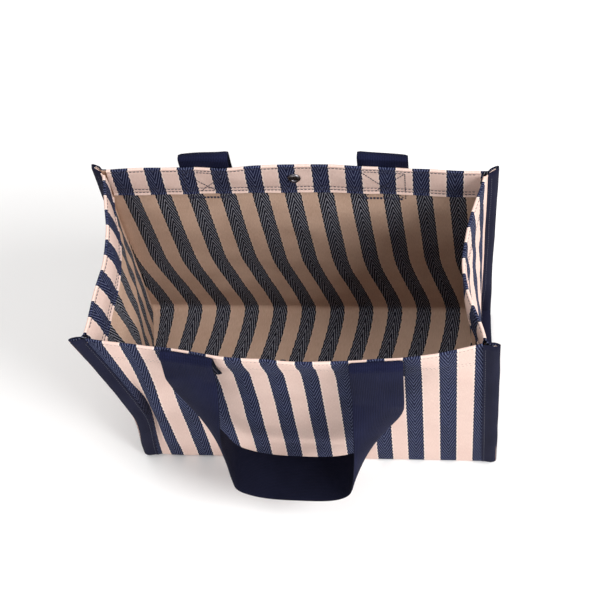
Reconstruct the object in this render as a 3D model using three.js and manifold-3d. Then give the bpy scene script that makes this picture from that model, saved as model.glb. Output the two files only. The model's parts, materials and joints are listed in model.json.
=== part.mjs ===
import * as THREE from 'three';
import { mergeVertices } from 'three/addons/utils/BufferGeometryUtils.js';
import Module from 'manifold-3d';

// Canvas tote bag with a box-shaped body, bound side seams, turned-over hems and two webbing handles.
// Millimetres, +Z up. The origin is the centre of the base's underside and the front faces -Y.

// Body
const height = 300;
const depth = 180;
const panelWidth = 366;
const canvas = 1.6;
const gap = 0.3;
const seamAllowance = 11;
const hemDepth = 44;
const hemThickness = 2 * canvas + gap;
const hemEndClearance = 4;

// How the cloth hangs
const frontBow = 17;
const backBow = 5;
const bowHeight = 110;
const leftFold = 12;
const rightFold = 20;
const cornerTuck = 27;
const cornerEase = 7;
const tuckBottom = 110;
const cornerFlare = 6;

// Binding tape that is wrapped round each side's seam allowances
const tape = 1;
const seamStack = 2 * canvas + 3 * gap + 2 * tape;

// Webbing handles
const webbingWidth = 48;
const webbing = 2.4;
const webbingStandoff = 0.4;
const handleSpacing = 170;
const sewnLength = 60;
const frontFoldRadius = 3.8;
const backFoldRadius = 5;
const backRise = 8;

// The middle line of a handle's loop from its left fold to its right one: across the bag, out and down
const loopRoute = [
  [-85, 0, 0], [-85, 2, 39], [-82, 8, 104], [-73, 12, 158], [-67, 15, 200], [-61, 16.5, 222], [-48, 17.5, 234],
  [-30, 18, 242], [0, 18, 246], [30, 18, 244], [44, 17.5, 238], [54, 16.5, 228], [60, 15, 215], [66, 13, 196],
  [78, 8, 140], [84, 5, 90], [85, 2, 39], [85, 0, 0],
];
// Where along the loop each leg starts and ends its quarter turn, as shares of the loop's length, and how early
const leftTurn = [0.06, 0.46, 1.8];
const rightTurn = [0.13, 0.46, 1.25];

// Thread and snap fastener
const thread = 0.8;
const threadStandoff = 0.4;
const gussetThreadInset = 8;
const boxWidth = 42;
const boxHeight = 50;
const topStitchInset = 4;
const snapInset = 19;
const snapRadius = 6.2;
const prongRingRadius = 5;
const prongRingThickness = 1.2;
const snapFlange = 1;

// Segments
const acrossPanel = 14;
const acrossGusset = 8;
const acrossWebbing = 2;
const upBody = 8;
const alongHandle = 44;
const roundSegments = 24;

const halfDepth = depth / 2;
const webEnd = halfDepth - canvas - gap;
const halfWidth = panelWidth / 2;
const handleX = handleSpacing / 2;

const wasm = await Module();
wasm.setup();

const bag = new THREE.Group();

const navy = 0x2c2f4f;
const cream = 0xe8cfc4;
const cloth = { color: cream, roughness: 0.95, metalness: 0 };
const navyTape = { color: navy, roughness: 0.85, metalness: 0 };
const navyThread = { color: 0x20233f, roughness: 0.7, metalness: 0 };
const gunmetal = { color: 0x4a4a50, roughness: 0.35, metalness: 1 };

function addPart(name, geometry, finish) {
  const mesh = new THREE.Mesh(geometry, new THREE.MeshStandardMaterial(finish));
  mesh.name = name;
  bag.add(mesh);
  return mesh;
}

function smooth(low, high, value) {
  const t = Math.min(Math.max((value - low) / (high - low), 0), 1);
  return t * t * (3 - 2 * t);
}

function steps(from, to, count) {
  return Array.from({ length: count + 1 }, (_, i) => from + ((to - from) * i) / count);
}

// A closed solid through a row of rings, which are closed outlines with the same number of points.
function loft(rings) {
  const size = rings[0].length;
  const positions = rings.flat().flatMap((p) => [p.x, p.y, p.z]);
  const index = [];
  for (let r = 0; r + 1 < rings.length; r += 1) {
    for (let i = 0; i < size; i += 1) {
      const a = r * size + i;
      const b = r * size + ((i + 1) % size);
      index.push(a, b, b + size, a, b + size, a + size);
    }
  }
  const first = capTriangles(rings[0]);
  const last = capTriangles(rings[rings.length - 1]);
  const lastStart = (rings.length - 1) * size;
  first.forEach(([a, b, c]) => index.push(a, c, b));
  last.forEach(([a, b, c]) => index.push(lastStart + a, lastStart + b, lastStart + c));
  if (signedVolume(positions, index) < 0) {
    index.reverse();
  }
  const geometry = new THREE.BufferGeometry();
  geometry.setAttribute('position', new THREE.Float32BufferAttribute(positions, 3));
  geometry.setIndex(index);
  return geometry;
}

// Triangles over a ring, wound the same way round as the ring's own points.
function capTriangles(ring) {
  const normal = new THREE.Vector3();
  ring.forEach((p, i) => normal.add(new THREE.Vector3().crossVectors(p, ring[(i + 1) % ring.length])));
  normal.normalize();
  const side = new THREE.Vector3(0.3, 0.5, 0.8).cross(normal).normalize();
  const up = new THREE.Vector3().crossVectors(normal, side);
  const flat = ring.map((p) => new THREE.Vector2(p.dot(side), p.dot(up)));
  return THREE.ShapeUtils.triangulateShape(flat, []);
}

function signedVolume(positions, index) {
  const corner = (i) => new THREE.Vector3().fromArray(positions, 3 * index[i]);
  let volume = 0;
  for (let i = 0; i < index.length; i += 3) {
    volume += corner(i).dot(corner(i + 1).cross(corner(i + 2))) / 6;
  }
  return volume;
}

function toManifold(geometry) {
  const bare = new THREE.BufferGeometry();
  bare.setAttribute('position', geometry.getAttribute('position'));
  bare.setIndex(geometry.getIndex());
  const merged = mergeVertices(bare);
  return new wasm.Manifold(new wasm.Mesh({
    numProp: 3,
    vertProperties: new Float32Array(merged.getAttribute('position').array),
    triVerts: new Uint32Array(merged.getIndex().array),
  }));
}

function fromManifold(solid) {
  const mesh = solid.getMesh();
  const geometry = new THREE.BufferGeometry();
  geometry.setAttribute('position', new THREE.Float32BufferAttribute(mesh.vertProperties, 3));
  geometry.setIndex(Array.from(mesh.triVerts));
  return geometry;
}

// The four upright seams. side is -1 at the left and 1 at the right, face is -1 at the front.
// Below the top, the front left seam is tucked in, most of all where tuckBottom is, and under that it is let out
// again a little. The front right seam stands out a little at the bottom.
function seamX(side, face, z) {
  if (face > 0) {
    return side * halfWidth;
  }
  if (side > 0) {
    return halfWidth + cornerFlare * (1 - z / height);
  }
  const up = Math.max(0, z - tuckBottom) / (height - tuckBottom);
  const tuck = cornerTuck * (1 - up ** 1.35);
  return tuck - cornerEase * (1 - smooth(0, tuckBottom, z)) - halfWidth;
}

// How far a panel's outer face stands from the bag's centre plane at one place on it.
function faceY(face, x, z) {
  const reach = Math.abs(seamX(x < 0 ? -1 : 1, face, z)) - hemEndClearance;
  const along = Math.min(Math.abs(x) / reach, 1);
  const bow = face < 0 ? frontBow : backBow;
  return face * (halfDepth + bow * (1 - along * along) * smooth(height - bowHeight, height, z));
}

// How far a gusset is folded in at one place on it.
function foldIn(side, y, z) {
  const deepest = side < 0 ? leftFold : rightFold;
  return deepest * Math.cos((Math.PI * y) / (2 * webEnd)) * smooth(0, height, z);
}

// A gusset's outer face, which runs from the front seam to the back seam.
function gussetX(side, y, z) {
  const along = (y + webEnd) / (2 * webEnd);
  const straight = THREE.MathUtils.lerp(seamX(side, -1, z), seamX(side, 1, z), along);
  return straight - side * foldIn(side, y, z);
}

// Heights of the rings in an upright sheet, with a step at the hem's lower edge.
function sheetHeights() {
  const low = canvas + tape + 2 * gap;
  const hem = height - hemDepth;
  return [...steps(low, hem, upBody), ...steps(hem + gap, height, 3)];
}

function inHem(z) {
  return z > height - hemDepth;
}

// The front or back panel: one sheet, doubled towards the inside where its hem is turned over.
function panelGeometry(face) {
  const rings = sheetHeights().map((z) => {
    const left = seamX(-1, face, z);
    const right = seamX(1, face, z);
    const hemLeft = left + hemEndClearance;
    const hemRight = right - hemEndClearance;
    const single = canvas + 2 * gap;
    const middle = steps(hemLeft, hemRight, acrossPanel);
    const xs = [left - seamAllowance, left + single, ...middle, right - single, right + seamAllowance];
    const outer = xs.map((x) => new THREE.Vector3(x, faceY(face, x, z), z));
    const inner = xs.map((x) => {
      const doubled = inHem(z) && x >= hemLeft && x <= hemRight;
      const thickness = doubled ? hemThickness : canvas;
      return new THREE.Vector3(x, faceY(face, x, z) - face * thickness, z);
    });
    return [...outer, ...inner.reverse()];
  });
  return loft(rings);
}

// The base: one flat sheet whose side edges step up into the bindings.
function baseGeometry() {
  const low = tape + gap;
  const rings = [-1, 1].map((face) => {
    const left = seamX(-1, face, 0);
    const right = seamX(1, face, 0);
    const line = [
      [left - seamAllowance, low],
      [left - gap, low],
      [left + hemEndClearance, 0],
      [right - hemEndClearance, 0],
      [right + gap, low],
      [right + seamAllowance, low],
    ];
    const under = line.map(([x, z]) => new THREE.Vector3(x, face * halfDepth, z));
    const over = line.map(([x, z]) => new THREE.Vector3(x, face * halfDepth, z + canvas));
    return [...under, ...over.reverse()];
  });
  return loft(rings);
}

// A gusset's upright part: a web with a seam allowance turned out at its front and back.
function gussetWall(side) {
  const rings = sheetHeights().map((z) => {
    const ys = steps(-webEnd, webEnd, acrossGusset);
    const thickness = (y) => (inHem(z) && Math.abs(y) < webEnd - hemThickness ? hemThickness : canvas);
    const inner = ys.map((y) => new THREE.Vector3(gussetX(side, y, z) - side * thickness(y), y, z));
    const outer = ys.map((y) => new THREE.Vector3(gussetX(side, y, z), y, z));
    outer[0].y += canvas;
    outer[outer.length - 1].y -= canvas;
    const tip = (face, inset) => new THREE.Vector3(
      seamX(side, face, z) + side * seamAllowance, face * (webEnd - inset), z,
    );
    return [tip(-1, 0), ...inner, tip(1, 0), tip(1, canvas), ...outer.reverse(), tip(-1, canvas)];
  });
  return loft(rings);
}

// A gusset's lower seam allowance, turned out above the base's edge.
function gussetFoot(side) {
  const low = canvas + tape + 2 * gap;
  const rings = [-1, 1].map((face) => {
    const seam = seamX(side, face, 0);
    const inner = seam - side * canvas;
    const outer = seam + side * seamAllowance;
    const y = face * webEnd;
    return [
      new THREE.Vector3(inner, y, low),
      new THREE.Vector3(outer, y, low),
      new THREE.Vector3(outer, y, low + canvas),
      new THREE.Vector3(inner, y, low + canvas),
    ];
  });
  return loft(rings);
}

function gussetGeometry(side) {
  return fromManifold(toManifold(gussetWall(side)).add(toManifold(gussetFoot(side))));
}

// The binding tape's section, folded over the seam allowances: distances out from the seam and in from the face.
function bindingSection() {
  const start = 2 * gap;
  const inside = seamAllowance + gap;
  const outside = inside + tape;
  const far = seamStack - tape;
  return [
    [start, 0], [outside, 0], [outside, seamStack], [start, seamStack],
    [start, far], [inside, far], [inside, tape], [start, tape],
  ];
}

// The tape's run up the front or back of a side. Its lower end is mitred against the run along the base.
function uprightBindingGeometry(side, face) {
  const outerY = halfDepth + tape + gap;
  const ring = (z, mitre) => bindingSection().map(([out, inwards]) => new THREE.Vector3(
    seamX(side, face, z) + side * out, face * (outerY - inwards), z + mitre * inwards,
  ));
  const low = 2 * gap;
  const heights = steps(low + seamStack + gap, height, upBody + 2);
  return loft([ring(low, 1), ...heights.map((z) => ring(z, 0))]);
}

// The tape's run along a side's lower edge, mitred at both ends.
function baseBindingGeometry(side) {
  const outerY = halfDepth + tape + gap;
  return loft([-1, 1].map((face) => bindingSection().map(([out, inwards]) => new THREE.Vector3(
    seamX(side, face, 0) + side * out, face * (outerY - inwards), inwards,
  ))));
}

// Where one webbing handle turns over at the top of its sewn ends.
function foldAxis(face) {
  const radius = face < 0 ? frontFoldRadius : backFoldRadius;
  const z = face < 0 ? height : height + backRise;
  const sewnMiddle = Math.abs(faceY(face, handleX, height)) + webbingStandoff + webbing / 2;
  return { y: face * (sewnMiddle + radius), z, radius };
}

// A handle's sewn end, flat on the outer face of the hem.
function sewnEndGeometry(face, side) {
  const top = foldAxis(face).z;
  const rings = steps(height - sewnLength, top, 6).map((z) => {
    const clothZ = Math.min(z, height);
    const xs = steps(side * handleX - webbingWidth / 2, side * handleX + webbingWidth / 2, acrossWebbing * 2);
    const inner = xs.map((x) => new THREE.Vector3(x, faceY(face, x, clothZ) + face * webbingStandoff, z));
    const outer = xs.map((x) => new THREE.Vector3(x, faceY(face, x, clothZ) + face * (webbingStandoff + webbing), z));
    return [...inner, ...outer.reverse()];
  });
  return loft(rings);
}

// How far the webbing has turned over at one share of the loop's length, counted from that leg's fold.
function legTurn(share, [start, end, power]) {
  const t = Math.min(Math.max((share - start) / (end - start), 0), 1);
  return (Math.PI / 2) * (1 - (1 - t) ** power);
}

// A handle's free loop. Each leg hangs from its fold and turns a quarter, so that the bottom lies flat.
function loopGeometry(face) {
  const axis = foldAxis(face);
  const legY = Math.abs(axis.y) + axis.radius;
  const points = loopRoute.map(([x, out, down]) => new THREE.Vector3(x, face * (legY + out), axis.z - down));
  const path = new THREE.CatmullRomCurve3(points, false, 'centripetal');
  const rings = path.getSpacedPoints(alongHandle).map((point, i) => {
    const t = i / alongHandle;
    const tangent = path.getTangentAt(t);
    const turned = legTurn(t, leftTurn) + Math.PI / 2 - legTurn(1 - t, rightTurn);
    const across = new THREE.Vector3(Math.cos(turned), face * Math.sin(turned), 0);
    across.addScaledVector(tangent, -across.dot(tangent)).normalize();
    const through = new THREE.Vector3().crossVectors(tangent, across);
    const corner = (a, b) => point.clone()
      .addScaledVector(across, (a * webbingWidth) / 2)
      .addScaledVector(through, (b * webbing) / 2);
    return [corner(-1, -1), corner(1, -1), corner(1, 1), corner(-1, 1)];
  });
  return loft(rings);
}

// A row of thread along the inner face of a panel's hem.
function panelThread(face, z) {
  const end = hemEndClearance + 2;
  const rings = steps(seamX(-1, face, z) + end, seamX(1, face, z) - end, acrossPanel).map((x) => {
    const y = Math.abs(faceY(face, x, z)) - hemThickness - threadStandoff;
    return threadRing((out, up) => new THREE.Vector3(x, face * (y - out), z + up));
  });
  return loft(rings);
}

// A row of thread along the inner face of a gusset's hem.
function gussetThread(side, z) {
  const reach = webEnd - hemThickness - gussetThreadInset;
  const rings = steps(-reach, reach, acrossGusset).map((y) => {
    const x = Math.abs(gussetX(side, y, z)) - hemThickness - 2 * threadStandoff;
    return threadRing((out, up) => new THREE.Vector3(side * (x - out), y, z + up));
  });
  return loft(rings);
}

function threadRing(place) {
  return [place(0, 0), place(thread, 0), place(thread, thread), place(0, thread)];
}

// A box of stitches with a cross in it, on the inner face of the hem behind a sewn end.
function boxStitchGeometry(face, side) {
  const w = boxWidth / 2;
  const h = boxHeight / 2;
  const cross = Math.atan2(h, w);
  const dx = thread / Math.sin(cross);
  const dz = thread / Math.cos(cross);
  const outline = new THREE.Shape([[-w, -h], [w, -h], [w, h], [-w, h]].map(([x, z]) => new THREE.Vector2(x, z)));
  const window = (points) => new THREE.Path(points.map(([x, z]) => new THREE.Vector2(x, z)));
  const a = w - thread;
  const b = h - thread;
  outline.holes.push(
    window([[-a + dx, -b], [a - dx, -b], [0, -dz]]),
    window([[-a + dx, b], [0, dz], [a - dx, b]]),
    window([[-a, -b + dz], [-dx, 0], [-a, b - dz]]),
    window([[a, -b + dz], [a, b - dz], [dx, 0]]),
  );
  const geometry = new THREE.ExtrudeGeometry(outline, { depth: thread, bevelEnabled: false });
  const middleZ = height - topStitchInset - h;
  const position = geometry.getAttribute('position');
  for (let i = 0; i < position.count; i += 1) {
    const x = side * handleX + position.getX(i);
    const z = middleZ + position.getY(i);
    const standoff = 2 * threadStandoff + thread + (face < 0 ? thread - position.getZ(i) : position.getZ(i));
    position.setXYZ(i, x, faceY(face, x, z) - face * (hemThickness + standoff), z);
  }
  geometry.deleteAttribute('normal');
  geometry.deleteAttribute('uv');
  return mergeVertices(geometry);
}

// Lays a round piece of the snap on a hem. The piece stands along Y and its foot is in from the cloth's face.
function layOnHem(geometry, face, inFromCloth) {
  const z = height - snapInset;
  const slope = (faceY(face, 0, z + 1) - faceY(face, 0, z - 1)) / 2;
  geometry.rotateX(face < 0 ? 0 : Math.PI);
  geometry.translate(0, -face * inFromCloth, 0);
  geometry.rotateX(-Math.atan(slope));
  geometry.translate(0, faceY(face, 0, z), z);
  return geometry;
}

function snapPiece(profile, face, inFromCloth) {
  const points = profile.map(([r, along]) => new THREE.Vector2(r, along));
  return layOnHem(new THREE.LatheGeometry(points, roundSegments), face, inFromCloth);
}

function pocketGeometry(face) {
  const radius = prongRingRadius + gap;
  const geometry = new THREE.CylinderGeometry(radius, radius, 2 * (canvas + gap), roundSegments);
  geometry.deleteAttribute('normal');
  geometry.deleteAttribute('uv');
  return layOnHem(geometry, face, hemThickness);
}

const hemThreads = [['top_stitching', height - topStitchInset], ['hem_stitching', height - hemDepth + topStitchInset]];
const faces = [['front', -1], ['back', 1]];
const sides = [['left', -1], ['right', 1]];

addPart('base_panel', baseGeometry(), cloth);

// The snap's prong rings sit in the turned-over layer of each hem.
const prongRing = [
  [0, 0], [prongRingRadius, 0], [prongRingRadius, prongRingThickness], [0, prongRingThickness],
];
for (const [faceName, face] of faces) {
  const panel = toManifold(panelGeometry(face));
  const pocket = toManifold(pocketGeometry(face));
  addPart(`${faceName}_panel`, fromManifold(panel.subtract(pocket)), cloth);
  addPart(`${faceName}_handle_loop`, loopGeometry(face), navyTape);
  for (const [sideName, side] of sides) {
    addPart(`${faceName}_handle_${sideName}_end`, sewnEndGeometry(face, side), navyTape);
    addPart(`${faceName}_${sideName}_box_stitch`, boxStitchGeometry(face, side), navyThread);
  }
  for (const [threadName, z] of hemThreads) {
    addPart(`${faceName}_${threadName}`, panelThread(face, z), navyThread);
  }
}

for (const [sideName, side] of sides) {
  addPart(`${sideName}_gusset`, gussetGeometry(side), cloth);
  addPart(`${sideName}_base_binding`, baseBindingGeometry(side), navyTape);
  for (const [faceName, face] of faces) {
    addPart(`${sideName}_${faceName}_binding`, uprightBindingGeometry(side, face), navyTape);
  }
  for (const [threadName, z] of hemThreads) {
    addPart(`${sideName}_${threadName}`, gussetThread(side, z), navyThread);
  }
}

const ringIn = hemThickness - prongRingThickness - gap;
addPart('snap_stud_prong_ring', snapPiece(prongRing, -1, ringIn), gunmetal);
addPart('snap_socket_prong_ring', snapPiece(prongRing, 1, ringIn), gunmetal);

const stud = [[0, 0], [snapRadius, 0], [snapRadius, snapFlange], [2.6, snapFlange], [2.2, 2.2], [2.6, 3], [2, 3.6], [0, 3.6]];
const socket = [[0, 0], [snapRadius, 0], [snapRadius, snapFlange], [5.2, 2.6], [3.2, 2.6], [2.9, 1.1], [0, 1.1]];
const snapIn = hemThickness + gap;
addPart('snap_stud', snapPiece(stud, -1, snapIn), gunmetal);
addPart('snap_socket', snapPiece(socket, 1, snapIn), gunmetal);

export default bag;
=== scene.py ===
"""Looks of the canvas tote bag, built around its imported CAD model. Metres, +Z up, the front faces -Y."""

import json
import math

import bpy
import numpy as np
from mathutils import Matrix, Vector, noise


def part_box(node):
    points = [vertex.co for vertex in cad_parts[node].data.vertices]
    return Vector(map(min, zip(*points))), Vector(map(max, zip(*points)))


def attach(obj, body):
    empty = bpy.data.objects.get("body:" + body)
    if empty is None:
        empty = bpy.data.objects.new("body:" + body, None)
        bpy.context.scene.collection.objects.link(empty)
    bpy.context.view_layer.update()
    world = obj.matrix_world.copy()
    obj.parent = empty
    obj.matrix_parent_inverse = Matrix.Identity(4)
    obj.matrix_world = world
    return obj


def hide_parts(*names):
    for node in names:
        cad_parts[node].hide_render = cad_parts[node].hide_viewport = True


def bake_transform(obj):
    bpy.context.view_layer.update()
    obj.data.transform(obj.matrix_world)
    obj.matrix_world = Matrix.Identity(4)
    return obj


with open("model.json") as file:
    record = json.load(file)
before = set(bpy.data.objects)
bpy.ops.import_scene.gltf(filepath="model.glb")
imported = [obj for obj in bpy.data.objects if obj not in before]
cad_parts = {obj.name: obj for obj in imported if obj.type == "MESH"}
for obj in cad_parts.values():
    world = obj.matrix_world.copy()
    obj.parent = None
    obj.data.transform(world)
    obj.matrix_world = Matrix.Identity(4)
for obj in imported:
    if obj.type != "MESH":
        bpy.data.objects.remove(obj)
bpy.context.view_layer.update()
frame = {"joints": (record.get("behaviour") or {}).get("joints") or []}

# Distance from a seam to where the CAD model's tape starts
CAD_TAPE_START = 0.0006

# Sizes read from the CAD model
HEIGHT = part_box("left_back_binding")[1].z
HALF_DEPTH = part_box("base_panel")[1].y
HALF_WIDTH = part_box("right_back_binding")[0].x - CAD_TAPE_START
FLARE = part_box("right_front_binding")[1].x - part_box("right_back_binding")[1].x
# Height of each handle's fold, by face
FOLD_Z = {-1: HEIGHT, 1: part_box("back_handle_left_end")[1].z}

# Cloth
CANVAS = 0.0011
SEAM_ALLOWANCE = 0.011
HEM_DEPTH = 0.044
HEM_RADIUS = 0.0015
HEM_CLEARANCE = 0.004
# Distances of the hem's three rows of stitches below its top edge
HEM_ROWS = (0.0040, 0.0355, 0.0405)
CORNER_RADIUS = 0.008
STRIPE = 0.016
FIRST_STRIPE = -0.1795
TWILL_UP = 0.0092
TWILL_ACROSS = 0.0024

# Gussets: where the web would meet its seams' corners, its low edge, its corners and its stripes' shift
WEB_END = HALF_DEPTH - 0.0019
GUSSET_LOW = 0.0042
GUSSET_RADIUS = 0.0035
GUSSET_SHIFT = 0.0024

# How the cloth hangs: the hems' outward bow, the tuck in the front left seam with its pleat, how far the
# gussets fold in, and how the back panel leans
FRONT_BOW = 0.0185
BACK_BOW = 0.005
BOW_SKEW = 0.3
TUCK = 0.027
TUCK_EASE = 0.007
TUCK_BOTTOM = 0.110
PLEAT = 0.048
LEFT_FOLD = 0.012
RIGHT_FOLD = 0.019
BACK_LEAN = 0.055
BACK_DRIFT = 0.016
BACK_SHIFT = 0.0048

# Degrees that each bound seam allowance leans away from the bag's middle plane, by side and face
ALLOWANCE_TURN = {(-1, -1): 10.0, (1, -1): 4.0, (-1, 1): 34.0, (1, 1): 34.0}

# Binding tape
TAPE = 0.0009
TAPE_START = -0.0036
TAPE_REACH = 0.0118
TAPE_CORNER = 0.009
TAPE_STAND = 0.0012
TAPE_LIFT = 0.0020
TAPE_PUFF = 0.0008
SEAM_STACK = 0.0060

# Webbing
WEBBING_WIDTH = 0.048
WEBBING = 0.0022
WEBBING_STAND = 0.0004
WEBBING_COLUMNS = 17
LOOP_COUNT = 190
HANDLE_X = 0.085
SEWN_LENGTH = 0.060
FOLD_RADIUS = {-1: 0.0038, 1: 0.005}
# How much flatter a fold is at its left and right selvedge, by face and side
CREST_SQUEEZE = {(-1, -1): (0.0, 0.35), (-1, 1): (0.15, 0.0), (1, -1): (0.72, 0.0), (1, 1): (0.36, 0.72)}
# The middle line of a handle's loop from its left fold to its right one: across the bag, out and down
LOOP_ROUTE = [
    (-0.085, 0.0, 0.0), (-0.085, 0.002, 0.039), (-0.082, 0.008, 0.104), (-0.073, 0.012, 0.158),
    (-0.067, 0.015, 0.200), (-0.061, 0.0165, 0.222), (-0.048, 0.0175, 0.234), (-0.030, 0.018, 0.242),
    (0.0, 0.018, 0.246), (0.030, 0.018, 0.244), (0.044, 0.0175, 0.238), (0.054, 0.0165, 0.228),
    (0.060, 0.015, 0.215), (0.066, 0.013, 0.196), (0.078, 0.008, 0.140), (0.084, 0.005, 0.090),
    (0.085, 0.002, 0.039), (0.085, 0.0, 0.0),
]
# Where each leg starts and stops turning over, as shares of the loop, and how early it turns
LEFT_TURN = (0.06, 0.46, 1.8)
RIGHT_TURN = (0.13, 0.46, 1.25)

# Thread and snap
THREAD_RADIUS = 0.00042
STITCH = 0.0031
STITCH_SPACE = 0.0005
THREAD_SUNK = 0.00040
THREAD_SIDES = 6
THREAD_WIDE = 1.15
THREAD_HIGH = 0.9
# Rings of one stitch: share along it, swell and rise, both in thread radii
STITCH_SHAPE = [
    (-0.5, 0.15, -1.6), (-0.44, 0.8, -0.3), (-0.22, 1.0, 0.25), (0.0, 1.05, 0.4),
    (0.22, 1.0, 0.25), (0.44, 0.8, -0.3), (0.5, 0.15, -1.6),
]
# The boxes of stitches: half their width, and their top and low edges below the hem's top
BOX_HALF_WIDTH = 0.021
BOX_TOP = 0.0065
BOX_LOW = 0.0560
SNAP_INSET = 0.019
# Radius and distance from the cloth along each round piece's outline
SNAP_PROFILES = {
    "stud": [
        (0.0002, 0.0), (0.0060, 0.0), (0.0063, 0.0004), (0.0062, 0.0009), (0.0056, 0.0012),
        (0.0036, 0.0011), (0.0028, 0.0013), (0.0023, 0.0022), (0.0026, 0.0031), (0.0024, 0.0036),
        (0.0014, 0.0039), (0.0002, 0.0040),
    ],
    "socket": [
        (0.0002, 0.0), (0.0060, 0.0), (0.0063, 0.0004), (0.0062, 0.0010), (0.0055, 0.0019),
        (0.0048, 0.0024), (0.0040, 0.0024), (0.0034, 0.0020), (0.0030, 0.0012), (0.0002, 0.0011),
    ],
    "prongs": [(0.0002, 0.0), (0.0046, 0.0), (0.0050, 0.0003), (0.0048, 0.0007), (0.0002, 0.0008)],
}

SIDES = {"left": -1, "right": 1}
FACES = {"front": -1, "back": 1}


# ---- numbers

def smooth(low, high, value):
    t = np.clip((value - low) / (high - low), 0.0, 1.0)
    return t * t * (3.0 - 2.0 * t)


def bump_at(centre, width, value):
    return np.exp(-((value - centre) / width) ** 2)


def ripple(x, y, scale, seed):
    """Smooth noise, about -1 to 1."""
    one = np.vectorize(lambda a, b: noise.noise(Vector((a / scale, b / scale, seed))))
    return one(*np.broadcast_arrays(x, y))


def spread(low, high, step):
    """Evenly spaced numbers from low to high, about a step apart."""
    return np.linspace(low, high, max(2, int(round(abs(high - low) / step)) + 1))


def joined(*parts):
    """The parts side by side, as the last axis of one array."""
    return np.stack(np.broadcast_arrays(*parts), axis=-1)


# ---- the bag's shape

def tuck_at(z):
    """How far the front left seam is drawn in: most at TUCK_BOTTOM, and a little less under that."""
    up = np.clip((z - TUCK_BOTTOM) / (HEIGHT - TUCK_BOTTOM), 0.0, 1.0)
    return TUCK * (1.0 - up ** 1.35) - TUCK_EASE * (1.0 - smooth(0.0, TUCK_BOTTOM, z))


def seam_x(side, face, z):
    """Where the seam between a gusset and a panel lies across the bag."""
    if face > 0:
        return side * HALF_WIDTH
    if side > 0:
        return HALF_WIDTH + FLARE * (1.0 - z / HEIGHT)
    return tuck_at(z) - HALF_WIDTH


def pulled_x(share, u, z):
    """Where a point of the main cloth lies across the bag. It is gathered at the front left corner.

    Share is 1 on the front panel, 0 on the back panel, and in between on the base.
    """
    flare = share * FLARE * (1.0 - z / HEIGHT)
    gathered = (1.0 - np.clip((u + HALF_WIDTH) / PLEAT, 0.0, 1.0)) ** 1.6
    return u + share * tuck_at(z) * gathered + flare * smooth(0.100, HALF_WIDTH, u)


def front_share(face):
    return 1.0 if face < 0 else 0.0


def panel_y(face, u, z):
    """How far the front or back panel's outer face stands from the bag's centre plane."""
    along = np.clip(u / (HALF_WIDTH - HEM_CLEARANCE), -1.0, 1.0)
    inside = 1.0 - along * along
    edge = 1.0 - along ** 8
    if face < 0:
        rise = 0.30 * smooth(0.150, HEIGHT, z) + 0.76 * smooth(0.225, HEIGHT + 0.012, z)
        bow = FRONT_BOW * inside * (1.0 + BOW_SKEW * along) * rise
        folded = bump_at(0.125, 0.070, z)
        valley = -0.013 * bump_at(-0.161, 0.0105, u) * smooth(-0.178, -0.165, u) * folded
        ridge = 0.0050 * bump_at(-0.139, 0.014, u) * folded
        sag = 0.0022 * ripple(u, z, 0.075, 1.7) + 0.0010 * ripple(u, z, 0.028, 4.2)
        hem = 0.0011 * ripple(u, 0.4 * z, 0.034, 8.1) * smooth(HEIGHT - 0.060, HEIGHT - 0.020, z)
        return HALF_DEPTH + bow + valley + ridge + (sag + hem) * edge * smooth(0.0, 0.05, z)
    bow = BACK_BOW * inside * smooth(0.190, HEIGHT, z)
    sag = 0.0030 * ripple(u, z, 0.090, 21.3) + 0.0012 * ripple(u, z, 0.035, 25.9)
    hem = 0.0010 * ripple(u, 0.4 * z, 0.036, 28.4) * smooth(HEIGHT - 0.060, HEIGHT - 0.020, z)
    return HALF_DEPTH + bow + (sag + hem) * edge * smooth(0.0, 0.05, z)


def hem_top(face, u):
    """The hem's top edge waves a little."""
    edge = 1.0 - np.clip(u / HALF_WIDTH, -1.0, 1.0) ** 8
    dip = 0.0016 if face < 0 else 0.0008
    return HEIGHT + edge * (dip * ripple(u, 0.0, 0.05, 3.3 + face) - 0.6 * dip)


def turn_allowance(points, side, face):
    """Points beyond a seam turn about it, as the bound seam allowances stand out at a slant."""
    points = np.array(points, float)
    x, y, z = points[..., 0], points[..., 1], points[..., 2]
    seam = seam_x(side, face, z)
    out = side * (x - seam)
    depth = HALF_DEPTH - face * y
    angle = math.radians(ALLOWANCE_TURN[side, face]) * smooth(0.012, 0.070, z) * smooth(-0.001, 0.004, out)
    points[..., 0] = seam + side * (out * np.cos(angle) + depth * np.sin(angle))
    points[..., 1] = face * (HALF_DEPTH - depth * np.cos(angle) + out * np.sin(angle))
    return points


def stitch_dent(drop):
    """How deep the rows of stitches pull the cloth in, at a distance below the hem's top edge."""
    return sum(0.00045 * bump_at(row, 0.0016, drop) for row in HEM_ROWS)


def outer_cloth(face, u, z):
    drop = HEIGHT - z
    top = hem_top(face, u) - HEIGHT
    y = panel_y(face, u, z) - stitch_dent(drop)
    x = pulled_x(front_share(face), u, z)
    return joined(x, face * y, z + top * smooth(0.150, HEIGHT, z))


def hem_cloth(face, u, z):
    """The turned-over layer, on the inside of the panel."""
    drop = HEIGHT - z
    top = hem_top(face, u) - HEIGHT
    loose = 0.0008 * bump_at(0.020, 0.012, drop) * (1.0 + ripple(u, z, 0.03, 12.0 + face))
    depth = 2.0 * HEM_RADIUS + loose - stitch_dent(drop) + 0.0007 * smooth(0.041, 0.044, drop)
    y = panel_y(face, u, z) - depth
    return joined(pulled_x(front_share(face), u, z), face * y, z + top)


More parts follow.
